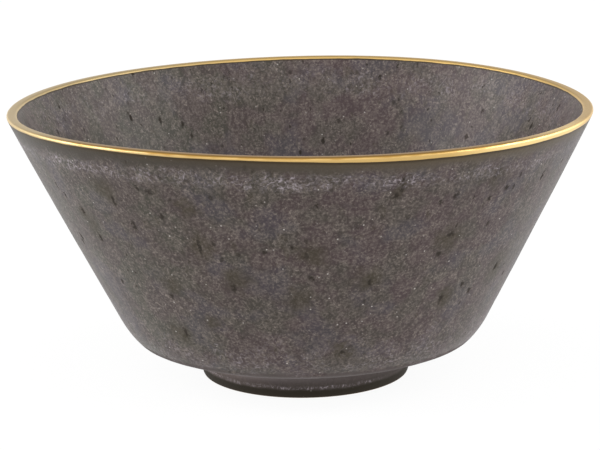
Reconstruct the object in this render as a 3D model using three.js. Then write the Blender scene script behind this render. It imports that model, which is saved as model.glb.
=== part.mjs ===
// A glazed stoneware bowl: straight walls that flare from a tight belly, a low foot ring with a
// shallow recess, a rounded lip, and a rim that the firing has drawn a little out of level.
// Millimetres, +Z up. The origin is on the table, under the middle of the rim.
import * as THREE from "three";
import { mergeVertices } from "three/addons/utils/BufferGeometryUtils.js";

// Rim and lip
const rimDiameter = 160; // over the widest part of the lip
const bowlHeight = 76.1; // table to the top of the lip, before the rim's waves
const lipRounding = 0.65; // radius of the lip's outer and inner edges
const lipFlat = 1.5; // level width between those edges

// Wall and belly, measured on the outside
const wallSwell = 0.23; // how far the long wall bows out of straight at its middle
const bellyDiameter = 103; // where the straight wall starts to turn under
const bellyHeight = 17.5; // height of that turn
const bellySwell = 0.26; // bow of the short curve from there down to the knee
const kneeDiameter = 94.3; // the tightest part of the turn
const kneeHeight = 11.45; // its height
const kneeRounding = 0.5; // how far its rounding reaches each way
const undersideSwell = 0.7; // bow of the underside between the knee and the foot

// Foot ring
const footDiameter = 57.9; // over the ring at the table
const footHeight = 7.1; // table to where the ring meets the underside
const footTaper = 0.1; // how much further out the ring's top stands
const footRounding = 0.5; // radius of the ring's edges at the table
const footFillet = 0.8; // reach of the glaze in the corner under the belly
const footRingWidth = 4.6; // width of the ring at the table, edges included
const recessDepth = 3.8; // hollow under the floor, inside the ring
const recessFillet = 1.4; // reach of the curve between the ring and the recess

// Inside
const wallThickness = 4.4; // square to the wall, at the belly
const floorThickness = 6.6; // clay and glaze above the recess, at the middle
const floorDish = 0.8; // how much the floor has risen where it meets the well
const floorDiameter = 56; // the nearly level part of the floor
const wellRise = 12; // height over which the floor turns up into the wall

// How far the rim leaves a true circle in a level plane
const footOffset = 0.62; // the foot stands this far to +X of the rim's middle
const waveStart = 20; // the waves fade out on the way down to this height
const rimWaves = [
  { crests: 1, height: 0.13, bearing: 176 },
  { crests: 2, height: 0.68, bearing: 74.4 },
  { crests: 4, height: 0.12, bearing: -36 },
];

// Facets
const segmentsAround = 72;
const stepsPerCurve = 3;

const up = Math.PI / 2;
const rimRadius = rimDiameter / 2;
const lipCentreHeight = bowlHeight - lipRounding;
const outerLipCentre = new THREE.Vector2(rimRadius - lipRounding, lipCentreHeight);
const innerLipCentre = new THREE.Vector2(outerLipCentre.x - lipFlat, lipCentreHeight);
const belly = new THREE.Vector2(bellyDiameter / 2, bellyHeight);
const knee = new THREE.Vector2(kneeDiameter / 2, kneeHeight);
const footRadius = footDiameter / 2;
const footTop = new THREE.Vector2(footRadius + footTaper, footHeight);

// The angle from vertical of the line through a point that touches an edge of the lip. A positive
// reach passes the edge on its outer side, a negative one on its inner side.
function leanPast(point, lipCentre, reach) {
  const across = lipCentre.x - point.x;
  const rise = lipCentre.y - point.y;
  return Math.atan2(across, rise) + Math.asin(reach / Math.hypot(across, rise));
}

// The point a distance away from one point, on the way to another.
function towards(from, to, distance) {
  return to.clone().sub(from).setLength(distance).add(from);
}

// Draws on to a point in a curve whose middle stands off the straight line by the swell.
function swellTo(path, end, swell) {
  const start = path.currentPoint.clone();
  const along = end.clone().sub(start).normalize();
  const control = start.add(end).multiplyScalar(0.5);
  control.add(new THREE.Vector2(along.y, -along.x).multiplyScalar(2 * swell));
  path.quadraticCurveTo(control.x, control.y, end.x, end.y);
}

// Draws a straight line up to a corner, and rounds it on the way to the next point.
function cornerTo(path, corner, next, reach) {
  const before = towards(corner, path.currentPoint, reach);
  const after = towards(corner, next, reach);
  path.lineTo(before.x, before.y);
  path.quadraticCurveTo(corner.x, corner.y, after.x, after.y);
}

// Recess and foot ring, from the axis to the corner under the belly.
function drawFoot(path) {
  const ringInside = footRadius - footRingWidth;
  const recessCorner = new THREE.Vector2(ringInside - footTaper, recessDepth);
  const innerEdge = new THREE.Vector2(ringInside, 0);
  const outerEdge = new THREE.Vector2(footRadius, 0);
  path.moveTo(0, recessDepth);
  cornerTo(path, recessCorner, innerEdge, recessFillet);
  cornerTo(path, innerEdge, outerEdge, footRounding);
  cornerTo(path, outerEdge, footTop, footRounding);
  cornerTo(path, footTop, knee, footFillet);
}

// Underside, knee, belly and the outside of the wall, up to the lip.
function drawOutside(path, lean) {
  const kneeStart = towards(knee, footTop, kneeRounding);
  const kneeEnd = towards(knee, belly, kneeRounding);
  swellTo(path, kneeStart, undersideSwell);
  path.quadraticCurveTo(knee.x, knee.y, kneeEnd.x, kneeEnd.y);
  swellTo(path, belly, bellySwell);
  const wallTop = new THREE.Vector2(Math.cos(lean), -Math.sin(lean));
  wallTop.multiplyScalar(lipRounding).add(outerLipCentre);
  swellTo(path, wallTop, wallSwell);
}

// The lip: its outer edge, the level width and its inner edge.
function drawLip(path, outerLean, innerLean) {
  path.absarc(outerLipCentre.x, outerLipCentre.y, lipRounding, -outerLean, up);
  path.absarc(innerLipCentre.x, innerLipCentre.y, lipRounding, up, Math.PI - innerLean);
}

// The inside of the wall, the well and the floor, down to the axis.
function drawInside(path, wallPoint, lean) {
  const floorMiddle = recessDepth + floorThickness;
  const floorEdge = new THREE.Vector2(floorDiameter / 2, floorMiddle + floorDish);
  const wellTopHeight = floorEdge.y + wellRise;
  const wallRadiusAt = (height) => wallPoint.x + (height - wallPoint.y) * Math.tan(lean);
  const wellTop = new THREE.Vector2(wallRadiusAt(wellTopHeight), wellTopHeight);
  swellTo(path, wellTop, -wallSwell);
  path.quadraticCurveTo(wallRadiusAt(floorEdge.y), floorEdge.y, floorEdge.x, floorEdge.y);
  path.quadraticCurveTo(floorEdge.x / 2, floorMiddle, 0, floorMiddle);
}

// Half of the bowl's section, as points of radius and height from the axis to the axis.
function sectionPoints() {
  const outerLean = leanPast(belly, outerLipCentre, lipRounding);
  const wallPoint = new THREE.Vector2(-Math.cos(outerLean), Math.sin(outerLean));
  wallPoint.multiplyScalar(wallThickness).add(belly);
  const innerLean = leanPast(wallPoint, innerLipCentre, -lipRounding);
  const path = new THREE.Path();
  drawFoot(path);
  drawOutside(path, outerLean);
  drawLip(path, outerLean, innerLean);
  drawInside(path, wallPoint, innerLean);
  return path.getPoints(stepsPerCurve);
}

// How far the rim stands above or below its mean height in one direction from the axis.
function rimRise(angle) {
  const rise = (wave) => {
    const fromCrest = angle - THREE.MathUtils.degToRad(wave.bearing);
    return wave.height * Math.cos(wave.crests * fromCrest);
  };
  return rimWaves.reduce((sum, wave) => sum + rise(wave), 0);
}

// Draws the turned form out of true: waves at the rim that fade on the way down, and the offset foot.
function warp(geometry) {
  const position = geometry.attributes.position;
  for (let i = 0; i < position.count; i += 1) {
    const x = position.getX(i);
    const y = position.getY(i);
    const z = position.getZ(i);
    const share = THREE.MathUtils.clamp((z - waveStart) / (bowlHeight - waveStart), 0, 1);
    const offset = footOffset * (1 - z / bowlHeight);
    position.setXYZ(i, x + offset, y, z + rimRise(Math.atan2(y, x)) * share * share);
  }
}

// The whole body, turned about the axis and then warped.
function bowlGeometry() {
  const turned = new THREE.LatheGeometry(sectionPoints(), segmentsAround);
  turned.rotateX(up);
  turned.deleteAttribute("normal");
  turned.deleteAttribute("uv");
  const geometry = mergeVertices(turned);
  warp(geometry);
  geometry.computeVertexNormals();
  return geometry;
}

const glaze = new THREE.MeshStandardMaterial({ color: 0x5a5049, roughness: 0.55, metalness: 0 });
const bowl = new THREE.Mesh(bowlGeometry(), glaze);
bowl.name = "bowl";

const group = new THREE.Group();
group.add(bowl);

export default group;
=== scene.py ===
"""A glazed stoneware bowl with a gilt lip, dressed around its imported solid.

The body is a section line swept round the axis by Geometry Nodes, with the rim's waves, the uneven
glaze and the dents of its dark runs in the mesh. Its one material holds the mottled, speckled glaze,
the crystals that gather below the rim and at the foot, the bare clay under the ring and the gold
fired on the lip.
"""
import logging
import math
from collections.abc import Iterator, Mapping
from dataclasses import dataclass
from enum import Enum
from functools import partialmethod

import bpy
import numpy as np
from mathutils import Matrix, Vector


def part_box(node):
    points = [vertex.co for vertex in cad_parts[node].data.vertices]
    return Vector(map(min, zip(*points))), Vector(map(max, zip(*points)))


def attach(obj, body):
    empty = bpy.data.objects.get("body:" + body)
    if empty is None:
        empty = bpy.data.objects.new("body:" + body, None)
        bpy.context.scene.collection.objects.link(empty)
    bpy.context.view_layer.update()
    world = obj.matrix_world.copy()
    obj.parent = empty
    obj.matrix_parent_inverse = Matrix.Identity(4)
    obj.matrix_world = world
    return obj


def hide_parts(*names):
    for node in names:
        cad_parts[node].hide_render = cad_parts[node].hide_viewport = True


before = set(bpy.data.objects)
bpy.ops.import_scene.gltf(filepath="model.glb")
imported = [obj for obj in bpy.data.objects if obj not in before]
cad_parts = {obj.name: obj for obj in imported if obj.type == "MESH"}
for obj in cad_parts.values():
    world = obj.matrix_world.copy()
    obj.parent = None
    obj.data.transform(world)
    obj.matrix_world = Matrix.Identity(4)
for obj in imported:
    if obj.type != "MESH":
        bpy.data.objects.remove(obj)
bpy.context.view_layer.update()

NODE = "bowl"
MM = 0.001
PER_MM = 1000.0
LOG = logging.getLogger("bowl")

Triple = tuple[float, float, float]
Colour = Triple
Values = Mapping[str, object]


def paint(*channels: int) -> Colour:
    """Turn a screen colour, from 0 to 255, into the linear values that shaders take."""
    shares = (channel / 255 for channel in channels)
    return tuple(share / 12.92 if share <= 0.04045 else ((share + 0.055) / 1.055) ** 2.4 for share in shares)


class Signal:
    """One output of a node. Operators on it add the node that does the sum."""

    def __init__(self, graph: "Graph", socket: bpy.types.NodeSocket) -> None:
        """Keep the output and the graph that it is in."""
        self.graph = graph
        self.socket = socket

    def combined(self, operation: str, other: object, swapped: bool = False) -> "Signal":
        """Do a sum on the signal and another value, or on the two swapped."""
        return self.graph.combine(operation, *((other, self) if swapped else (self, other)))

    __add__ = partialmethod(combined, "ADD")
    __radd__ = partialmethod(combined, "ADD", swapped=True)
    __sub__ = partialmethod(combined, "SUBTRACT")
    __rsub__ = partialmethod(combined, "SUBTRACT", swapped=True)
    __mul__ = partialmethod(combined, "MULTIPLY")
    __rmul__ = partialmethod(combined, "MULTIPLY", swapped=True)
    __truediv__ = partialmethod(combined, "DIVIDE")

    def maths(self, operation: str, *others: object) -> "Signal":
        """Do one operation on the signal, or on it and other numbers."""
        return self.graph.maths(operation, self, *others)

    size = partialmethod(maths, "ABSOLUTE")
    cosine = partialmethod(maths, "COSINE")
    sine = partialmethod(maths, "SINE")
    rounded = partialmethod(maths, "ROUND")
    either = partialmethod(maths, "MAXIMUM")
    nearer = partialmethod(maths, "MINIMUM")

    def limit(self) -> "Signal":
        """The signal held between 0 and 1."""
        settings = {"operation": "ADD", "use_clamp": True}
        return self.graph.signal("ShaderNodeMath", settings, {"Value": self, "Value_001": 0.0})

    def length(self) -> "Signal":
        """Length of the signal as a vector."""
        return self.graph.signal("ShaderNodeVectorMath", {"operation": "LENGTH"}, {"Vector": self}, "Value")

    def toward(self, bearing: float) -> "Signal":
        """How far each place lies from the axis towards a bearing in degrees."""
        x, y, _ = self.parts()
        return x * math.cos(math.radians(bearing)) + y * math.sin(math.radians(bearing))

    def fade(self, start: object, end: object) -> "Signal":
        """Ease from 0 to 1 as the signal goes from one value to another, up or down."""
        values = {"Value": self, "From Min": start, "From Max": end}
        return self.graph.signal("ShaderNodeMapRange", {"interpolation_type": "SMOOTHSTEP"}, values)

    def parts(self) -> tuple["Signal", "Signal", "Signal"]:
        """The three numbers of a vector or colour."""
        node = self.graph.node("ShaderNodeSeparateXYZ", {}, {"Vector": self})
        x, y, z = (Signal(self.graph, output) for output in node.outputs)
        return x, y, z


class Graph:
    """One node tree, with short ways to add nodes and to do sums on their outputs."""

    def __init__(self, tree: bpy.types.NodeTree) -> None:
        """Empty the tree and keep it."""
        tree.nodes.clear()
        self.tree = tree

    @staticmethod
    def find(sockets: bpy.types.NodeInputs | bpy.types.NodeOutputs, key: str) -> bpy.types.NodeSocket:
        """Find a socket by its identifier, or else by its name."""
        return next((socket for socket in sockets if socket.identifier == key), None) or sockets[key]

    def node(self, kind: str, settings: Values, values: Values) -> bpy.types.Node:
        """Add one node.

        Args:
            kind: Blender's name for the type of node.
            settings: The node's own settings, which are made first.
            values: For each input, a number, a tuple, a material or a signal to link.

        Returns:
            The new node.
        """
        node = self.tree.nodes.new(kind)
        for name, value in settings.items():
            setattr(node, name, value)
        for key, value in values.items():
            socket = self.find(node.inputs, key)
            if isinstance(value, Signal):
                self.tree.links.new(value.socket, socket)
            elif socket.type == "RGBA":
                socket.default_value = (*value, 1.0)
            else:
                socket.default_value = value
        return node

    def signal(self, kind: str, settings: Values, values: Values, output: str = "") -> Signal:
        """Add one node, and take the output of a name or else the first output in use."""
        sockets = self.node(kind, settings, values).outputs
        return Signal(self, self.find(sockets, output) if output else next(s for s in sockets if s.enabled))

    def maths(self, operation: str, *values: object) -> Signal:
        """Add a Math node for one operation on numbers."""
        keys = ("Value", "Value_001", "Value_002")
        return self.signal("ShaderNodeMath", {"operation": operation}, dict(zip(keys, values)))

    def combine(self, operation: str, first: object, second: object) -> Signal:
        """Add the node for a sum on numbers, vectors or one of each.

        Args:
            operation: ADD, SUBTRACT, MULTIPLY or DIVIDE.
            first: A number, tuple or signal.
            second: A number, tuple or signal.

        Returns:
            The result.
        """
        def is_vector(value: object) -> bool:
            """Whether a value holds three numbers."""
            kind = value.socket.type if isinstance(value, Signal) else type(value)
            return kind in {"VECTOR", "RGBA", tuple}

        if not (is_vector(first) or is_vector(second)):
            return self.maths(operation, first, second)
        if operation == "MULTIPLY" and not (is_vector(first) and is_vector(second)):
            vector, scale = (first, second) if is_vector(first) else (second, first)
            values = {"Vector": vector, "Scale": scale}
            return self.signal("ShaderNodeVectorMath", {"operation": "SCALE"}, values)
        values = {"Vector": first, "Vector_001": second}
        return self.signal("ShaderNodeVectorMath", {"operation": operation}, values)

    def join(self, x: object, y: object, z: object) -> Signal:
        """Make a vector of three numbers."""
        return self.signal("ShaderNodeCombineXYZ", {}, {"X": x, "Y": y, "Z": z})

    def spots(self, place: Signal, spacing: float) -> tuple[Signal, Signal, Signal]:
        """Scatter points with chance numbers of their own.

        Args:
            place: Where the scatter is read, in millimetres.
            spacing: Mean distance between neighbours, in millimetres.

        Returns:
            The distance to the nearest point in millimetres, and two numbers of that point.
        """
        values = {"Vector": place, "Scale": 1 / spacing}
        node = self.node("ShaderNodeTexVoronoi", {"feature": "F1"}, values)
        distance = Signal(self, node.outputs["Distance"]) * spacing
        first, second, _ = Signal(self, node.outputs["Color"]).parts()
        return distance, first, second

    def tint(self, share: object, under: object, over: object) -> Signal:
        """Lay one colour over another by a share from 0 to 1."""
        values = {"Factor_Float": share, "A_Color": under, "B_Color": over}
        return self.signal("ShaderNodeMix", {"data_type": "RGBA"}, values, "Result_Color")

    def mix(self, share: object, under: object, over: object) -> Signal:
        """Go from one number to another by a share from 0 to 1."""
        values = {"Factor_Float": share, "A_Float": under, "B_Float": over}
        return self.signal("ShaderNodeMix", {"data_type": "FLOAT"}, values, "Result_Float")


class Zone(Enum):
    """The stretches of the section, each with the height of its rows of faces."""

    RECESS = 2.0 * MM
    FOOT = 0.5 * MM
    UNDERSIDE = 0.9 * MM
    KNEE = 0.35 * MM
    WALL = 0.8 * MM
    LIP = 0.2 * MM
    WELL = 1.0 * MM
    FLOOR = 1.5 * MM


Points = np.ndarray
Stretches = Iterator[tuple[Zone, Points]]


@dataclass(frozen=True)
class RimWave:
    """One wave of the rim: how many crests it has round the bowl, its height and its bearing."""

    crests: int
    height: float
    bearing: float


@dataclass(frozen=True)
class Warp:
    """How the firing has drawn the bowl out of true."""

    waves: tuple[RimWave, ...] = (
        RimWave(1, 0.13 * MM, math.radians(176)),
        RimWave(2, 0.68 * MM, math.radians(74.4)),
        RimWave(4, 0.12 * MM, math.radians(-36)),
    )
    start: float = 20 * MM
    foot_offset: float = 0.62 * MM

    def crest(self) -> float:
        """Height in metres of the highest point of the rim over its mean."""
        angles = np.linspace(0, math.tau, 721)
        return float(np.max(sum(w.height * np.cos(w.crests * (angles - w.bearing)) for w in self.waves)))


@dataclass(frozen=True)
class SectionRows:
    """The section as rows: radius and height, outward direction and distance from the lip."""

    place: Points
    outward: Points
    lip_distance: Points
    run: Points


@dataclass(frozen=True)
class BowlSection:
    """Half of the bowl's section, from the middle of the recess over the lip to the floor."""

    rim_radius: float
    height: float
    lip_rounding: float = 0.65 * MM
    lip_flat: float = 1.5 * MM
    wall_swell: float = 0.23 * MM
    belly_radius: float = 51.5 * MM
    belly_height: float = 17.5 * MM
    belly_swell: float = 0.26 * MM
    knee_radius: float = 47.15 * MM
    knee_height: float = 11.45 * MM
    knee_rounding: float = 0.5 * MM
    underside_swell: float = 0.7 * MM
    foot_radius: float = 28.95 * MM
    foot_height: float = 7.1 * MM
    foot_taper: float = 0.1 * MM
    foot_rounding: float = 0.5 * MM
    foot_fillet: float = 0.8 * MM
    foot_ring_width: float = 4.6 * MM
    recess_depth: float = 3.8 * MM
    recess_fillet: float = 1.4 * MM
    wall_thickness: float = 4.4 * MM
    floor_thickness: float = 6.6 * MM
    floor_dish: float = 0.8 * MM
    floor_radius: float = 28 * MM
    well_rise: float = 12 * MM
    step: float = 0.1 * MM
    softening: int = 12

    @staticmethod
    def bend(start: Points, corner: Points, end: Points) -> Points:
        """Points of the curve that leaves one point and reaches another aimed at a corner."""
        share = np.linspace(0, 1, 33)[:, None]
        return (1 - share) ** 2 * start + 2 * share * (1 - share) * corner + share**2 * end

    @classmethod
    def swell(cls, start: Points, end: Points, amount: float) -> Points:
        """Points of a line whose middle stands off straight by an amount, outwards."""
        along = (end - start) / np.linalg.norm(end - start)
        corner = (start + end) / 2 + 2 * amount * np.array([along[1], -along[0]])
        return cls.bend(start, corner, end)

    @staticmethod
    def towards(start: Points, end: Points, distance: float) -> Points:
        """The point a distance away from one point, on the way to another."""
        return start + (end - start) / np.linalg.norm(end - start) * distance

    @classmethod
    def corner(cls, start: Points, corner: Points, end: Points, reach: float) -> Points:
        """Points of a line to a corner that is rounded on the way to the next point."""
        before, after = (cls.towards(corner, place, reach) for place in (start, end))
        return np.vstack([start, cls.bend(before, corner, after)])

    @staticmethod
    def lean_past(point: Points, centre: Points, reach: float) -> float:
        """Angle from vertical of the line through a point that touches a circle."""
        across, rise = centre - point
        return math.atan2(across, rise) + math.asin(reach / math.hypot(across, rise))

    def outside_stretches(self, belly: Points, wall_top: Points) -> Stretches:
        """Recess, foot ring, underside, knee and wall, from the axis to the lip.

        Args:
            belly: Where the straight wall begins.
            wall_top: Where the wall meets the lip's outer edge.

        Yields:
            Each zone and its points of radius and height.
        """
        ring_inside = self.foot_radius - self.foot_ring_width
        middle, recess, inner, outer, top, knee = np.array([
            (0.0, self.recess_depth),
            (ring_inside - self.foot_taper, self.recess_depth),
            (ring_inside, 0.0),
            (self.foot_radius, 0.0),
            (self.foot_radius + self.foot_taper, self.foot_height),
            (self.knee_radius, self.knee_height),
        ])
        hollow = self.corner(middle, recess, inner, self.recess_fillet)
        yield Zone.RECESS, hollow
        ring = self.corner(hollow[-1], inner, outer, self.foot_rounding)
        rest = self.corner(ring[-1], outer, top, self.foot_rounding)
        side = self.corner(rest[-1], top, knee, self.foot_fillet)
        yield Zone.FOOT, np.vstack([ring, rest, side])
        before = self.towards(knee, top, self.knee_rounding)
        after = self.towards(knee, belly, self.knee_rounding)
        yield Zone.UNDERSIDE, self.swell(side[-1], before, self.underside_swell)
        yield Zone.KNEE, self.bend(before, knee, after)
        yield Zone.KNEE, self.swell(after, belly, self.belly_swell)
        yield Zone.WALL, self.swell(belly, wall_top, self.wall_swell)

    def inside_stretches(self, start: Points, wall_point: Points, lean: float) -> Stretches:
        """The inside of the wall, the well and the floor, down to the axis.

        Args:
            start: Where the lip's inner edge ends.
            wall_point: A point on the inside of the wall at the belly.
            lean: Angle of the inside of the wall from vertical.

        Yields:
            Each zone and its points of radius and height.
        """
        floor_middle = self.recess_depth + self.floor_thickness
        floor_edge = np.array([self.floor_radius, floor_middle + self.floor_dish])

        def wall_at(height: float) -> Points:
            """Point of the wall's line at a height."""
            return np.array([wall_point[0] + (height - wall_point[1]) * math.tan(lean), height])

        well_top = wall_at(floor_edge[1] + self.well_rise)
        yield Zone.WALL, self.swell(start, well_top, -self.wall_swell)
        yield Zone.WELL, self.bend(well_top, wall_at(floor_edge[1]), floor_edge)
        half_way = np.array([self.floor_radius / 2, floor_middle])
        yield Zone.FLOOR, self.bend(floor_edge, half_way, np.array([0.0, floor_middle]))

    def stretches(self) -> Stretches:
        """The whole section, from the axis to the axis.

        Yields:
            Each zone and its points of radius and height.
        """
        lip_height = self.height - self.lip_rounding
        outer_lip = np.array([self.rim_radius - self.lip_rounding, lip_height])
        inner_lip = outer_lip - np.array([self.lip_flat, 0.0])
        belly = np.array([self.belly_radius, self.belly_height])
        outer_lean = self.lean_past(belly, outer_lip, self.lip_rounding)
        inward = np.array([-math.cos(outer_lean), math.sin(outer_lean)])
        wall_point = belly + self.wall_thickness * inward
        inner_lean = self.lean_past(wall_point, inner_lip, -self.lip_rounding)

        yield from self.outside_stretches(belly, outer_lip - self.lip_rounding * inward)
        outer = self.around(outer_lip, -outer_lean, math.pi / 2)
        inner = self.around(inner_lip, math.pi / 2, math.pi - inner_lean)
        yield Zone.LIP, np.vstack([outer, inner])
        yield from self.inside_stretches(inner[-1], wall_point, inner_lean)

    def around(self, centre: Points, start: float, end: float) -> Points:
        """Points of an arc of the lip's rounding between two angles."""
        angle = np.linspace(start, end, 33)
        return centre + self.lip_rounding * np.stack([np.cos(angle), np.sin(angle)], axis=1)

    def rows(self) -> SectionRows:
        """The section as rows of faces, with its edges softened as glaze softens them.

        Returns:
            Every row's place, outward direction, distance from the lip and share of the length.
        """
        stretches = list(self.stretches())
        points = np.vstack([run for _, run in stretches])
        heights = np.concatenate([np.full(len(run), zone.value) for zone, run in stretches])
        length = np.concatenate([[0.0], np.cumsum(np.linalg.norm(np.diff(points, axis=0), axis=1))])
        even = np.linspace(0, length[-1], round(length[-1] / self.step) + 1)
        radius = np.interp(even, length, points[:, 0])
        height = np.interp(even, length, points[:, 1])
        for _ in range(self.softening):
            for line in (radius, height):
                line[1:-1] = (line[:-2] + 2 * line[1:-1] + line[2:]) / 4
        along = np.stack([np.gradient(radius), np.gradient(height)], axis=1)
        along /= np.linalg.norm(along, axis=1)[:, None]
        lip = even[np.argmax(height)]

        count = np.cumsum((even[1] - even[0]) / np.interp(even, length, heights))
        count = count - count[0]
        rows = np.linspace(0, count[-1], round(count[-1]) + 1)

        def at_rows(line: Points) -> Points:
            """Values of a line at the rows."""
            return np.interp(rows, count, line)

        return SectionRows(
            place=np.stack([at_rows(radius), at_rows(height)], axis=1),
            outward=np.stack([at_rows(along[:, 1]), at_rows(-along[:, 0])], axis=1),
            lip_distance=at_rows(lip - even),
            run=at_rows(even / even[-1]),
        )


@dataclass(frozen=True)
class Pattern:
    """A noise pattern: the breadth of its forms in millimetres, its octaves, its stretch and its shift."""

    size: float
    octaves: float = 2.0
    roughness: float = 0.5
    stretch: Triple = (1.0, 1.0, 1.0)
    shift: Triple = (0.0, 0.0, 0.0)

    def at(self, place: Signal) -> Signal:
        """Read the pattern.

        Args:
            place: Where it is read, in millimetres.

        Returns:
            Its height, mostly between 0.3 and 0.7.
        """
        values = {
            "Vector": place * self.stretch + self.shift,
            "Scale": 1 / self.size,
            "Detail": self.octaves,
            "Roughness": self.roughness,
        }
        return place.graph.signal("ShaderNodeTexNoise", {}, values, "Fac")

    def sway(self, place: Signal) -> Signal:
        """Read the pattern as a number that goes to both sides of 0."""
        return self.at(place) - 0.5

    def veins(self, place: Signal, width: float, core: float = 0.0) -> Signal:
        """Thin winding lines, where the pattern crosses its middle."""
        return self.sway(place).size().fade(width, core)


@dataclass(frozen=True)
class Marks:
    """Marks on the outside: bearing in degrees, height, half width and half length in millimetres."""

    places: tuple[tuple[float, float, float, float], ...]
    belly_radius: float = 51.5
    belly_height: float = 17.5
    wall_slope: float = 0.486
    mean_radius: float = 65.0

    def mask(self, place: Signal, breadth: float, raggedness: float, edge: float, core: float) -> Signal:
        """Where the marks are.

        Args:
            place: Where they are read, in millimetres.
            breadth: Breadth of the forms that make them ragged, in millimetres.
            raggedness: How far those forms move their edges, in millimetres.
            edge: Where a mark ends, as a share of its half width and half length.
            core: Where it is full, as the same share.

        Returns:
            1 in the middle of each mark, and 0 outside.
        """
        x, y, height = place.parts()
        sway = Pattern(breadth).sway(place) * raggedness
        bearing = place.graph.maths("ARCTAN2", y, x) + sway / self.mean_radius
        chart = place.graph.join(bearing, height - sway, 0.0)
        nearest = None
        for mark_bearing, mark_height, half_width, half_length in self.places:
            radius = self.belly_radius + self.wall_slope * (mark_height - self.belly_height)
            scale = (radius / half_width, 1 / half_length, 0.0)
            distance = ((chart - (math.radians(mark_bearing), mark_height, 0.0)) * scale).length()
            nearest = distance if nearest is None else nearest.nearer(distance)
        return nearest.fade(edge, core)


RUNS = Marks((
    (-130, 61.5, 0.6, 2.3), (-127, 54.8, 0.75, 1.9), (-141, 48.7, 0.65, 1.4), (-143, 55.9, 0.65, 1.3),
    (-150, 61.8, 0.7, 1.3), (-148, 59.4, 0.6, 1.1), (-120, 65.4, 0.9, 1.1), (-122.5, 66.3, 0.5, 0.8),
    (-119, 58.9, 0.8, 1.2), (-112, 50.8, 0.5, 2.8), (-106, 39.3, 0.75, 1.8), (-124, 34.7, 0.7, 1.0),
    (-124, 23.5, 0.65, 1.8), (-152, 46.4, 0.8, 1.1), (-98, 50.3, 0.9, 0.7), (-92, 51.8, 0.7, 0.7),
    (-88, 42.7, 0.9, 0.9), (-71, 69.2, 0.6, 0.8), (-71, 66.9, 0.65, 1.4), (-72, 65.0, 0.8, 1.2),
    (-50, 67.6, 0.8, 1.7), (-45.5, 62.7, 1.0, 0.9), (-49.5, 60.6, 0.9, 0.8), (-59, 63.0, 0.7, 0.8),
    (-62, 61.8, 0.7, 0.8), (-33, 63.1, 0.7, 1.7), (-57, 51.9, 1.2, 1.0), (-58.5, 46.6, 0.9, 0.9),
    (-74.5, 40.6, 0.7, 1.1), (-53, 32.5, 0.9, 1.3), (-43, 32.7, 0.8, 1.1), (-35, 37.8, 0.7, 1.4),
    (-47, 35.4, 0.7, 0.9), (-79, 19.7, 0.7, 0.7), (-87, 63.6, 0.6, 0.8), (-14, 58.0, 0.7, 1.9),
    (3, 47.5, 0.9, 1.2), (9, 66.0, 0.6, 1.6), (21, 36.0, 0.8, 1.1), (34, 61.5, 0.7, 2.2),
    (40, 27.0, 0.8, 1.0), (52, 52.0, 0.6, 2.4), (66, 67.0, 0.8, 1.0), (71, 41.0, 0.9, 1.3),
    (88, 57.5, 0.7, 2.0), (97, 30.5, 0.8, 1.2), (108, 63.5, 0.7, 1.2), (113, 48.0, 0.6, 2.5),
    (129, 68.0, 0.8, 1.1), (136, 39.0, 0.8, 1.5), (147, 58.5, 0.7, 1.8), (163, 50.0, 0.9, 1.1),
    (169, 33.0, 0.7, 1.5), (-172, 64.0, 0.8, 1.3), (-165, 43.0, 0.7, 1.9),
))
POOLS = Marks((
    (-88, 49.7, 5.0, 4.5), (-131, 64.0, 4.5, 4.5), (-112, 61.4, 4.0, 3.5), (-123, 38.4, 3.5, 5.0),
    (-91, 36.2, 5.0, 5.0), (-126, 23.0, 4.5, 4.0), (-114, 28.0, 4.0, 3.0), (-105, 41.7, 5.0, 4.5),
    (-57, 50.5, 5.5, 4.5), (-71, 67.0, 4.0, 4.5), (-49, 66.0, 4.5, 4.0), (-75, 41.5, 5.0, 5.0),
    (-35, 38.0, 5.0, 6.0), (-142, 53.0, 4.0, 6.0), (-112, 51.5, 4.0, 5.5), (-79, 20.5, 4.0, 3.5),
    (-52, 33.0, 4.0, 4.0), (5, 49.0, 5.5, 5.0), (36, 60.0, 4.5, 5.5), (68, 43.0, 5.0, 5.0),
    (90, 59.0, 4.0, 5.5), (112, 47.0, 4.5, 6.0), (148, 57.0, 4.5, 5.0), (166, 36.0, 4.5, 5.0),
))


@dataclass(frozen=True)
class Pits:
    """Pinholes and short strokes in the glaze, drawn out down the wall."""

    spacing: float
    share: float
    smallest: float
    largest: float
    stretch: Triple
    shift: Triple

    def mask(self, place: Signal, wander: Signal) -> Signal:
        """Where the pits are.

        Args:
            place: Where they are read, in millimetres.
            wander: A fine pattern from about -0.5 to 0.5 that makes them ragged.

        Returns:
            1 in the middle of each pit, and 0 outside.
        """
        ragged = (place + self.shift) * self.stretch + place.graph.join(wander, wander * -1.0, wander)
        distance, chance, spread = place.graph.spots(ragged, self.spacing)
        radius = spread * spread * (self.largest - self.smallest) + self.smallest
        chosen = chance.fade(1 - self.share, 1.02 - self.share)
        return (1 - distance / radius).fade(0.0, 0.5) * chosen


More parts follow.
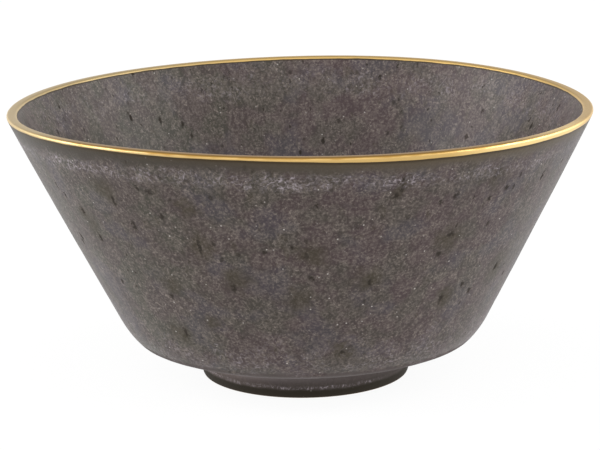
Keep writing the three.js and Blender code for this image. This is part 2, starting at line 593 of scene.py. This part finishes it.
@dataclass(frozen=True)
class Relief:
    """How far the glaze's surface is from true. Depths are in metres."""

    broad: Pattern = Pattern(26.0, 1.0)
    broad_depth: float = 0.22 * MM
    ripple: Pattern = Pattern(4.2)
    ripple_depth: float = 0.09 * MM
    run_depth: float = 0.16 * MM
    above_table: tuple[float, float] = (0.4, 2.5)
    from_lip: tuple[float, float] = (3.0, 9.0)

    def depth(self, place: Signal, lip: Signal) -> Signal:
        """Depth of the surface under its true form.

        Args:
            place: Where it is read, in millimetres.
            lip: Distance from the middle of the lip, in millimetres.

        Returns:
            The depth in metres, 0 on the lip and on the face that stands on the table.
        """
        _, _, height = place.parts()
        broad = self.broad.sway(place) * self.broad_depth
        ripple = self.ripple.sway(place) * self.ripple_depth
        runs = RUNS.mask(place, 1.5, 0.5, 1.7, 0.2) * self.run_depth * lip.fade(0.0, 1.0)
        away = height.fade(*self.above_table) * lip.size().fade(*self.from_lip)
        return (broad + ripple + runs) * away


@dataclass(frozen=True)
class GoldLustre:
    """The gold fired on the lip: colours and painted reflections, shine and how far it comes down each side.
    """

    bright: Colour = paint(208, 174, 110)
    # Painted reflection: the pale gold laid on the left of the rim.
    pale: Colour = paint(202, 178, 130)
    # Painted highlight: bright gold laid on the rim towards the front right.
    painted_highlight: Colour = paint(250, 218, 150)
    # Painted dark reflection, laid on the inner half of the lip at the front.
    painted_dark_reflection: Colour = paint(162, 122, 58)
    dark_reflection_share: float = 0.85
    roughness: float = 0.4
    outside: float = 1.98
    outside_drip: float = 0.8
    drip_bearing: float = -50.0
    highlight_bearing: float = -40.0
    inside: float = 1.8
    wobble: float = 0.45
    edge: float = 0.07
    outer_sway: Pattern = Pattern(11.0)
    inner_sway: Pattern = Pattern(7.0)
    dark_reflection_sway: Pattern = Pattern(2.0, stretch=(0.35, 0.35, 2.0))

    def reach(self, place: Signal) -> Signal:
        """How far the gold comes down the outside at each bearing, in millimetres."""
        drip = place.toward(self.drip_bearing).fade(50.0, 80.0) * self.outside_drip
        return drip + self.outer_sway.sway(place) * self.wobble + self.outside

    def mask(self, place: Signal, lip: Signal, reach: Signal) -> Signal:
        """Where the gold is, between its inner edge and its reach down the outside."""
        inside = self.inner_sway.sway(place) * self.wobble - self.inside
        return (lip - reach).fade(self.edge, -self.edge) * (lip - inside).fade(-self.edge, self.edge)

    def leaf(self, place: Signal, lip: Signal) -> Signal:
        """Gold colour with painted reflections: dark on the front inner lip, bright front right, pale left.

        Args:
            place: Object coordinates in millimetres.
            lip: Distance from the middle of the lip, positive outside, in millimetres.

        Returns:
            The colour.
        """
        graph = place.graph
        _, y, _ = place.parts()
        # Painted dark reflection: the inner half of the lip at the front is darker and browner.
        dark_reflection = (lip + self.dark_reflection_sway.sway(place) * 1.2).fade(1.7, 1.25) * y.fade(-35.0, -65.0)
        # Painted reflection: the gold turns pale towards the left of the rim.
        leaf = graph.tint(place.toward(180.0).fade(10.0, 60.0), self.bright, self.pale)
        # Painted highlight: the gold turns bright towards the front right, where the lamps' reflection
        # falls.
        leaf = graph.tint(place.toward(self.highlight_bearing).fade(73.0, 79.0), leaf, self.painted_highlight)
        return graph.tint(dark_reflection * self.dark_reflection_share, leaf, self.painted_dark_reflection)


@dataclass(frozen=True)
class Coat:
    """A colour that lies over others, and how much of it shows where it is full."""

    colour: Colour
    share: float = 1.0

    def over(self, ground: Signal, mask: Signal) -> Signal:
        """Lay the colour over another where a mask says."""
        return ground.graph.tint(mask * self.share, ground, self.colour)


@dataclass(frozen=True)
class Edge:
    """A soft edge round the bowl, or a band if it has a middle. Lengths are in millimetres."""

    start: float
    full: float
    wander: float
    share: float = 1.0
    middle: float = 0.0

    def past(self, level: Signal, wander: Signal) -> Signal:
        """The share where the level has passed the edge, and 0 before it."""
        return (level + wander * self.wander).fade(self.start, self.full) * self.share

    def around(self, level: Signal, wander: Signal) -> Signal:
        """The share where the level is close to the middle, and 0 away from it."""
        return (level - self.middle + wander * self.wander).size().fade(self.start, self.full) * self.share


@dataclass(frozen=True)
class Froth:
    """Pale crystals that have curled up on each side of the rim, at the belly and on the foot."""

    rim: Edge = Edge(3.0, 0.6, 5.0, 1.0, 6.3)
    inside: Edge = Edge(6.0, 1.0, 14.0, 0.4, -9.0)
    belly: Edge = Edge(8.0, 1.0, 30.0, 0.4, 16.0)
    foot: Edge = Edge(0.7, 0.1, 1.4, 1.0, 2.9)
    wander: Pattern = Pattern(7.0, 3.0)
    patches: Pattern = Pattern(9.0, 1.0, shift=(3.0, 44.0, 9.0))
    curls: Pattern = Pattern(2.1, 1.0)
    crumbs: Pattern = Pattern(0.9, roughness=0.6, shift=(8.0, 2.0, 6.0))

    def mask(self, place: Signal, lip: Signal, below_gold: Signal) -> Signal:
        """Where the froth is.

        Args:
            place: Object coordinates in millimetres.
            lip: Distance from the middle of the lip, positive outside, in millimetres.
            below_gold: Distance below the gold's outer edge, in millimetres.

        Returns:
            How much of the pale colour shows.
        """
        x, _, height = place.parts()
        wander = self.wander.sway(place)
        left = x.fade(60.0, -50.0) * 0.35 + 0.65
        patches = self.patches.at(place).fade(0.38, 0.6) * 0.65 + 0.35
        crumbs = self.crumbs.at(place).fade(0.45, 0.64)
        band = (self.rim.around(below_gold, wander) * left).either(self.inside.around(lip, wander))
        band = band.either(self.belly.around(height, wander)) * patches
        band = band.either(self.foot.around(height, wander) * x.fade(24.0, 12.0))
        return band * (crumbs * 0.42 + self.curls.veins(place, 0.04, 0.004) * (0.5 + crumbs * 0.7))


@dataclass(frozen=True)
class SpeckledGlaze:
    """The reactive glaze: colours with painted glints, light and shade, patterns, pits and edges. Places are
    in mm.
    """

    mauve: Colour = paint(69, 52, 53)
    moss: Colour = paint(58, 57, 43)
    pale: Colour = paint(113, 103, 96)
    slate: Coat = Coat(paint(67, 60, 69), 0.6)
    olive: Coat = Coat(paint(56, 46, 24))
    rim_olive: Coat = Coat(paint(60, 52, 41), 0.85)
    rim_gold: Coat = Coat(paint(62, 50, 26), 0.5)
    line: Coat = Coat(paint(46, 32, 2), 0.95)
    pit: Coat = Coat(paint(32, 25, 17), 0.9)
    froth: Coat = Coat(paint(138, 129, 133), 0.88)
    # Painted glints: pale spots that stand in for small highlights on the glaze.
    painted_glint: Coat = Coat(paint(178, 172, 166), 0.85)
    foot_smooth: Coat = Coat(paint(73, 65, 63), 0.8)
    # Painted light, laid below the knee and on the top of the ring, more on the left.
    painted_foot_light: Coat = Coat(paint(94, 86, 85))
    # Dark glaze at the bottom of the foot, deepened as painted contact shade.
    dark_foot_and_shade: Coat = Coat(paint(32, 25, 13))
    clay: Coat = Coat(paint(126, 104, 84))
    moss_clouds: Pattern = Pattern(9.0, roughness=0.55)
    slate_clouds: Pattern = Pattern(13.0, roughness=0.55, shift=(30.0, 5.0, 11.0))
    olive_drift: Pattern = Pattern(4.2, 2.0, 0.6, (1.0, 1.0, 0.5), (7.0, 21.0, 3.0))
    wander: Pattern = Pattern(5.0, 3.0)
    grain: Pattern = Pattern(0.7, roughness=0.7)
    streaks: Pattern = Pattern(1.7, 2.0, 0.6, (1.0, 1.0, 0.4), (1.0, 6.0, 2.0))
    curls: Pattern = Pattern(1.5, 1.0, shift=(3.0, 9.0, 27.0))
    drips: Pattern = Pattern(3.0, 2.0, 0.6, (1.0, 1.0, 0.2), (12.0, 3.0, 40.0))
    worms: Pattern = Pattern(2.0, 1.0, 0.5, (1.0, 1.0, 0.6), (2.0, 33.0, 5.0))
    wisps: Pattern = Pattern(0.9, 1.0)
    pinholes: Pits = Pits(2.1, 0.11, 0.35, 0.9, (1.0, 1.0, 0.6), (5.0, 23.0, 31.0))
    strokes: Pits = Pits(3.0, 0.5, 0.35, 0.8, (1.0, 1.0, 0.22), (41.0, 7.0, 19.0))
    glint_spacing: float = 2.2
    glint_shift: Triple = (2.0, 13.0, 8.0)
    rim_edge: Edge = Edge(4.8, 1.6, 4.0)
    knee_edge: Edge = Edge(13.4, 11.8, 5.0)
    ring_edge: Edge = Edge(2.9, 1.9, 0.8)
    crystals: Froth = Froth()
    roughness: float = 0.42
    dull_roughness: float = 0.8
    specular: float = 0.3

    def ground(self, place: Signal, pools: Signal) -> Signal:
        """The mottled colours under the grain.

        Args:
            place: Object coordinates in millimetres.
            pools: Where the glaze has pooled.

        Returns:
            The colour.
        """
        x, _, _ = place.parts()
        share = self.moss_clouds.at(place).fade(0.4, 0.62) * 0.55 + x.fade(15.0, -50.0) * 0.3
        ground = place.graph.tint(share, self.mauve, self.moss)
        ground = self.slate.over(ground, self.slate_clouds.at(place).fade(0.5, 0.66))
        olive = self.olive_drift.at(place).fade(0.6, 0.74) * 0.5
        return self.olive.over(ground, olive.either(pools * 0.85))

    def pale_share(self, place: Signal, grain: Signal, wander: Signal, inside: Signal) -> Signal:
        """How much of the pale grain shows over the ground.

        Args:
            place: Object coordinates in millimetres.
            grain: The finest pattern.
            wander: A broader pattern from about -0.5 to 0.5.
            inside: 1 on the inside of the bowl and 0 on the outside.

        Returns:
            The share, a little past 0 and 1 in places.
        """
        flecks = grain.fade(0.35, 0.8)
        light = flecks * 0.66 + self.streaks.sway(place) * 0.85
        light = (light + self.curls.veins(place, 0.04) * flecks * 0.65) * (wander * 1.2 + 0.95)
        drips = self.drips.at(place).fade(0.5, 0.72) * 0.24
        worms = self.worms.veins(place, 0.035) * wander.fade(-0.12, 0.06) * 0.42
        return light * (1 - inside * 0.12) + (0.06 - drips - worms) * inside

    def foot(self, ground: Signal, place: Signal, outside: Signal) -> Signal:
        """Painted light below the knee and on the foot's left, and dark glaze at its bottom, partly painted
        shade.

        Args:
            ground: The colour under them.
            place: Object coordinates in millimetres.
            outside: 1 on the outside of the bowl and 0 on the inside.

        Returns:
            The colour.
        """
        x, _, height = place.parts()
        # Painted light: the underside just below the knee is lightened, to soften the shade where it turns
        # under.
        turn = height.fade(12.4, 11.4) * height.fade(8.4, 10.4) * outside * 0.35
        # Painted light on the top of the ring, strongest on the left.
        ring_top = height.fade(4.1, 5.5) * height.fade(7.3, 6.2) * x.fade(28.0, -14.0)
        ground = self.painted_foot_light.over(ground, turn.either(ring_top))
        # Darker towards the bottom of the foot: dark glaze, partly painted contact shade.
        ground = self.dark_foot_and_shade.over(ground, height.fade(4.4, 3.4) * 0.3)
        # Painted light: below the knee on the outside, the left of the foot is made up to 70% lighter.
        return ground * (x.fade(-4.0, -24.0) * height.fade(12.0, 10.5) * outside * 0.7 + 1.0)

    def colour_and_height(self, place: Signal, lip: Signal, gold_edge: Signal) -> tuple[Signal, ...]:
        """The glaze's colour, the height of its fine relief and where it is dull.

        Args:
            place: Object coordinates in millimetres.
            lip: Distance from the middle of the lip, positive outside, in millimetres.
            gold_edge: How far the gold comes down the outside.

        Returns:
            Colour, height from 0 to 1, and where the glaze is dull: in its pits and round the foot.
        """
        graph = place.graph
        x, _, height = place.parts()
        wander = self.wander.sway(place)
        grain = self.grain.at(place)
        below_gold = lip - gold_edge
        outside = lip.fade(0.0, 0.5)
        inside = 1 - outside
        pools = POOLS.mask(place, 4.0, 7.0, 1.25, 0.15) * outside
        under_rim = self.rim_edge.past(below_gold, wander) * outside
        above_foot = self.knee_edge.past(height, wander) * outside
        rough = 1 - under_rim.either(above_foot) * 0.7

        light = self.pale_share(place, grain, wander, inside) * (1 - pools * 0.55)
        ground = graph.tint(light.limit(), self.ground(place, pools) * 0.66, self.pale)
        # Painted light: the inside of the bowl is made 19% lighter, for the light from above that falls into
        # it.
        ground = self.rim_olive.over(ground * (inside * 0.19 + 1.0), under_rim)
        ground = self.rim_gold.over(ground, below_gold.fade(2.6, 0.5) * outside)
        ground = ground * (under_rim * (x.fade(-55.0, 55.0) * 0.7 - 0.32) + 1.0)
        ground = self.foot(self.foot_smooth.over(ground, above_foot), place, outside)

        wisps = self.wisps.sway(place)
        strokes = self.strokes.mask(place, wisps) * inside
        pits = (self.pinholes.mask(place, wisps) * 0.7).either(strokes)
        runs = RUNS.mask(place, 0.8, 2.0, 1.3, 0.3) * outside
        ground = self.pit.over(ground, (pits * rough).either(runs))
        ground = self.froth.over(ground, self.crystals.mask(place, lip, below_gold))
        # The bottom of the foot in dark glaze, partly painted contact shade.
        ground = self.dark_foot_and_shade.over(ground, self.ring_edge.past(height, wander))

        # Painted glints: scattered pale spots in the colour, as small highlights.
        distance, chance, _ = graph.spots(place + self.glint_shift, self.glint_spacing)
        painted_glint = distance.fade(0.29, 0.1) * chance.fade(0.5, 0.95) * rough
        ground = self.painted_glint.over(ground, painted_glint)
        ground = self.line.over(ground, below_gold.fade(1.0, 0.35) * (lip + 2.4).fade(0.0, 0.4))
        ground = self.clay.over(ground, height.fade(0.35, 0.15))
        return ground, grain, pits.either(runs).either(height.fade(13.4, 12.2) * outside)


@dataclass(frozen=True)
class BowlFinish:
    """The whole surface of the bowl: the glaze with the gold over it."""

    glaze: SpeckledGlaze = SpeckledGlaze()
    gold: GoldLustre = GoldLustre()
    bump_height: float = 0.05 * MM

    def material(self) -> bpy.types.Material:
        """Make the material.

        Returns:
            A material that reads Object coordinates and the mesh's distance from the lip.
        """
        material = bpy.data.materials.new("speckled_glaze_and_gold")
        material.use_nodes = True
        graph = Graph(material.node_tree)
        place = graph.signal("ShaderNodeTexCoord", {}, {}, "Object") * PER_MM
        lip = graph.signal("ShaderNodeAttribute", {"attribute_name": "lip_distance"}, {}, "Fac")
        reach = self.gold.reach(place)
        gold = self.gold.mask(place, lip, reach)
        glaze, relief, dull = self.glaze.colour_and_height(place, lip, reach)
        shine = graph.mix(dull, self.glaze.roughness, self.glaze.dull_roughness)
        bump = {"Strength": 1.0, "Distance": self.bump_height, "Height": graph.mix(gold, relief, 0.5)}
        values = {
            "Base Color": graph.tint(gold, glaze, self.gold.leaf(place, lip)),
            "Metallic": gold,
            "Roughness": graph.mix(gold, shine, self.gold.roughness),
            "Specular IOR Level": self.glaze.specular,
            "Normal": graph.signal("ShaderNodeBump", {}, bump),
        }
        shader = graph.signal("ShaderNodeBsdfPrincipled", {}, values)
        graph.node("ShaderNodeOutputMaterial", {}, {"Surface": shader})
        return material


@dataclass
class StonewareBowl:
    """The bowl: its section, its warp, its relief and its finish."""

    section: BowlSection
    warp: Warp = Warp()
    relief: Relief = Relief()
    finish: BowlFinish = BowlFinish()
    segments: int = 328
    name: str = "glazed_bowl"

    @classmethod
    def from_frame(cls) -> "StonewareBowl":
        """Take the rim's width and the bowl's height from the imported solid.

        Returns:
            The bowl, ready to be built.
        """
        low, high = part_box(NODE)
        warp = Warp()
        section = BowlSection(rim_radius=(high.x - low.x) / 2, height=high.z - low.z - warp.crest())
        return cls(section=section, warp=warp)

    def section_line(self) -> bpy.types.Mesh:
        """Draw the section as a line of edges in the XZ plane.

        Returns:
            A mesh with each row's outward direction, distance from the lip and share of length.
        """
        rows = self.section.rows()
        mesh = bpy.data.meshes.new("section_line")
        edges = [(index, index + 1) for index in range(len(rows.place) - 1)]
        mesh.from_pydata(np.insert(rows.place, 1, 0.0, axis=1).tolist(), edges, [])
        attributes = {
            "outward": ("FLOAT_VECTOR", "vector", np.insert(rows.outward, 1, 0.0, axis=1).ravel()),
            "lip_distance": ("FLOAT", "value", rows.lip_distance * PER_MM),
            "run": ("FLOAT", "value", rows.run),
        }
        for name, (kind, key, values) in attributes.items():
            mesh.attributes.new(name, kind, "POINT").data.foreach_set(key, values)
        return mesh

    def sizes(self) -> dict[str, float]:
        """The node tree's named inputs and their values.

        Returns:
            The value of each name. Whole numbers are counts, and the others metres or radians.
        """
        sizes = {
            "Segments": self.segments,
            "Height": self.section.height,
            "Wave start": self.warp.start,
            "Foot offset": self.warp.foot_offset,
        }
        for wave in self.warp.waves:
            sizes[f"Height of wave {wave.crests}"] = wave.height
            sizes[f"Bearing of wave {wave.crests}"] = wave.bearing
        return sizes

    def tree(self, material: bpy.types.Material) -> tuple[bpy.types.NodeTree, dict[str, str]]:
        """Make the nodes that sweep the section round the axis and warp the result.

        Args:
            material: The finish that the tree sets.

        Returns:
            The tree, and the identifier of each named input.
        """
        tree = bpy.data.node_groups.new("swept_bowl", "GeometryNodeTree")
        shape = "NodeSocketGeometry"
        tree.interface.new_socket("Section", in_out="INPUT", socket_type=shape)
        tree.interface.new_socket("Bowl", in_out="OUTPUT", socket_type=shape)
        names = {}
        for name, value in self.sizes().items():
            kind = "NodeSocketInt" if isinstance(value, int) else "NodeSocketFloat"
            names[name] = tree.interface.new_socket(name, in_out="INPUT", socket_type=kind).identifier
        graph = Graph(tree)
        given = graph.node("NodeGroupInput", {}, {})

        def size(name: str) -> Signal:
            """One of the tree's inputs."""
            return Signal(graph, graph.find(given.outputs, name))

        section = size("Section")
        count = graph.signal("GeometryNodeAttributeDomainSize", {}, {"Geometry": section}, "Point Count")
        columns = size("Segments") + 1
        grid_values = {"Size X": 1.0, "Size Y": 1.0, "Vertices X": columns, "Vertices Y": count}
        grid = graph.node("GeometryNodeMeshGrid", {}, grid_values)
        around, up_section, _ = Signal(graph, grid.outputs["UV Map"]).parts()
        row = (up_section * (count - 1)).rounded()
        angle = around * math.tau

        def sampled(kind: str, value: Signal) -> Signal:
            """A value of the section line at this row."""
            values = {"Geometry": section, "Value": value, "Index": row}
            return graph.signal("GeometryNodeSampleIndex", {"data_type": kind}, values)

        def named(kind: str, name: str) -> Signal:
            """A stored attribute of the section line at this row."""
            settings = {"data_type": kind}
            stored = graph.signal("GeometryNodeInputNamedAttribute", settings, {"Name": name}, "Attribute")
            return sampled(kind, stored)

        position = graph.signal("GeometryNodeInputPosition", {}, {})
        radius, _, height = sampled("FLOAT_VECTOR", position).parts()
        out, _, rise = named("FLOAT_VECTOR", "outward").parts()
        turned = graph.join(radius * angle.cosine(), radius * angle.sine(), height)
        outward = graph.join(out * angle.cosine(), out * angle.sine(), rise)

        lip = named("FLOAT", "lip_distance")
        start = size("Wave start")
        share = ((height - start) / (size("Height") - start)).limit()
        lift = 0.0
        for wave in self.warp.waves:
            turn = (angle - size(f"Bearing of wave {wave.crests}")) * wave.crests
            lift = lift + turn.cosine() * size(f"Height of wave {wave.crests}")
        shift = size("Foot offset") * (1 - height / size("Height"))
        warped = turned + graph.join(shift, 0.0, lift * share * share)
        depth = self.relief.depth(warped * PER_MM, lip)
        final = warped - outward * depth

        def stored(body: Signal, kind: str, domain: str, name: str, value: Signal) -> Signal:
            """The geometry with one value stored on it under a name."""
            values = {"Geometry": body, "Name": name, "Value": value}
            settings = {"data_type": kind, "domain": domain}
            return graph.signal("GeometryNodeStoreNamedAttribute", settings, values)

        chart = graph.join(around, named("FLOAT", "run"), 0.0)
        body = stored(Signal(graph, grid.outputs["Mesh"]), "FLOAT2", "CORNER", "OFBake", chart)
        body = stored(body, "FLOAT", "POINT", "lip_distance", lip)
        body = graph.signal("GeometryNodeSetPosition", {}, {"Geometry": body, "Position": final})
        body = graph.signal("GeometryNodeMergeByDistance", {}, {"Geometry": body, "Distance": 1e-6})
        body = graph.signal("GeometryNodeSetShadeSmooth", {}, {"Geometry": body, "Shade Smooth": True})
        body = graph.signal("GeometryNodeRealizeInstances", {}, {"Geometry": body})
        body = graph.signal("GeometryNodeSetMaterial", {}, {"Geometry": body, "Material": material})
        graph.node("NodeGroupOutput", {}, {"Bowl": body})
        return tree, names

    def build(self) -> bpy.types.Object:
        """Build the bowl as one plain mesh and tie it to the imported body.

        Returns:
            The finished piece.
        """
        line = self.section_line()
        piece = bpy.data.objects.new(self.name, line)
        bpy.context.scene.collection.objects.link(piece)
        material = self.finish.material()
        tree, names = self.tree(material)
        modifier = piece.modifiers.new("sweep", "NODES")
        modifier.node_group = tree
        for name, value in self.sizes().items():
            modifier[names[name]] = value
        graph = bpy.context.evaluated_depsgraph_get()
        mesh = bpy.data.meshes.new_from_object(piece.evaluated_get(graph))
        piece.modifiers.remove(modifier)
        piece.data = mesh
        bpy.data.meshes.remove(line)
        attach(piece, "root")
        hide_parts(NODE)
        triangles = sum(len(face.vertices) - 2 for face in mesh.polygons)
        LOG.info("%s: %d vertices, %d triangles", self.name, len(mesh.vertices), triangles)
        return piece


@dataclass(frozen=True)
class Viewpoint:
    """The camera: where it stands, what it looks at, its roll and its lens."""

    location: Triple = (0.62 * MM, -588.46 * MM, 179.58 * MM)
    target: Triple = (-0.42 * MM, 0.0, 41.32 * MM)
    roll: float = math.radians(-0.85)
    lens: float = 130.33

    def build(self) -> bpy.types.Object:
        """Place the camera and make it the scene's.

        Returns:
            The camera.
        """
        camera = bpy.data.objects.new("camera", bpy.data.cameras.new("camera"))
        camera.data.lens = self.lens
        camera.data.sensor_width = 36.0
        camera.data.clip_start = 0.05
        direction = Vector(self.target) - Vector(self.location)
        turn = direction.to_track_quat("-Z", "Y").to_matrix().to_4x4()
        tilt = Matrix.Rotation(self.roll, 4, "Z")
        camera.matrix_world = Matrix.Translation(self.location) @ turn @ tilt
        bpy.context.scene.collection.objects.link(camera)
        bpy.context.scene.camera = camera
        LOG.info("camera: lens %.1f mm", self.lens)
        return camera


@dataclass(frozen=True)
class SoftBox:
    """One soft light: where it hangs, where it points, its sides and its strength."""

    name: str
    location: Triple
    width: float
    height: float
    power: float

    def build(self, target: Vector) -> None:
        """Hang the light and point it at a place.

        Args:
            target: The place in the row frame.
        """
        data = bpy.data.lights.new(self.name, "AREA")
        data.shape = "RECTANGLE"
        data.size = self.width
        data.size_y = self.height
        data.energy = self.power
        light = bpy.data.objects.new(self.name, data)
        light.location = self.location
        light.rotation_mode = "QUATERNION"
        light.rotation_quaternion = (target - light.location).to_track_quat("-Z", "Y")
        light.visible_camera = False
        bpy.context.scene.collection.objects.link(light)
        LOG.info("%s: %.1f W", self.name, self.power)


@dataclass(frozen=True)
class Studio:
    """A white sweep in soft light, with the light from above and behind held back."""

    sky: float = 1.3
    dim_share: float = 0.55
    dim_direction: Triple = (0.0, 0.5, 0.87)
    dim_core: float = 0.8
    dim_edge: float = 0.5
    floor_colour: Colour = (0.08, 0.08, 0.08)
    floor_glow: float = 0.93
    floor_side: float = 8.0
    lights: tuple[SoftBox, ...] = (
        SoftBox("left_box", (-1.2, 0.0, 0.45), 0.9, 0.8, 10.0),
        SoftBox("right_box", (1.2, 0.0, 0.45), 0.9, 0.8, 8.2),
        SoftBox("front_box", (0.0, -1.1, 0.75), 1.2, 0.9, 1.5),
    )

    def build(self) -> None:
        """Make the world, the floor and the lights."""
        world = bpy.data.worlds.new("white_room")
        bpy.context.scene.world = world
        world.use_nodes = True
        graph = Graph(world.node_tree)
        direction = graph.signal("ShaderNodeTexCoord", {}, {}, "Generated")
        values = {"Vector": direction, "Vector_001": self.dim_direction}
        settings = {"operation": "DOT_PRODUCT"}
        towards = graph.signal("ShaderNodeVectorMath", settings, values, "Value")
        strength = self.sky - towards.fade(self.dim_edge, self.dim_core) * self.sky * self.dim_share
        room = {"Color": (1.0, 1.0, 1.0), "Strength": strength}
        background = graph.signal("ShaderNodeBackground", {}, room)
        graph.node("ShaderNodeOutputWorld", {}, {"Surface": background})
        self.floor()
        for light in self.lights:
            light.build(Vector((0.0, 0.0, 0.04)))
        bpy.context.scene.view_settings.view_transform = "Standard"

    def floor(self) -> None:
        """Lay the pale floor that the bowl stands on."""
        half = self.floor_side / 2
        corners = [(-half, -half, 0.0), (half, -half, 0.0), (half, half, 0.0), (-half, half, 0.0)]
        mesh = bpy.data.meshes.new("floor")
        mesh.from_pydata(corners, [], [(0, 1, 2, 3)])
        floor = bpy.data.objects.new("floor", mesh)
        bpy.context.scene.collection.objects.link(floor)
        material = bpy.data.materials.new("pale_floor")
        material.use_nodes = True
        graph = Graph(material.node_tree)
        values = {
            "Base Color": self.floor_colour,
            "Roughness": 1.0,
            "Specular IOR Level": 0.0,
            "Emission Color": (1.0, 1.0, 1.0),
            "Emission Strength": self.floor_glow,
        }
        shader = graph.signal("ShaderNodeBsdfPrincipled", {}, values)
        graph.node("ShaderNodeOutputMaterial", {}, {"Surface": shader})
        mesh.materials.append(material)
        LOG.info("floor: %.1f m square", self.floor_side)


def main() -> None:
    """Build the camera, the studio and the bowl."""
    logging.basicConfig(level=logging.INFO, format="%(message)s")
    Viewpoint().build()
    Studio().build()
    StonewareBowl.from_frame().build()


if __name__ == "__main__":
    main()
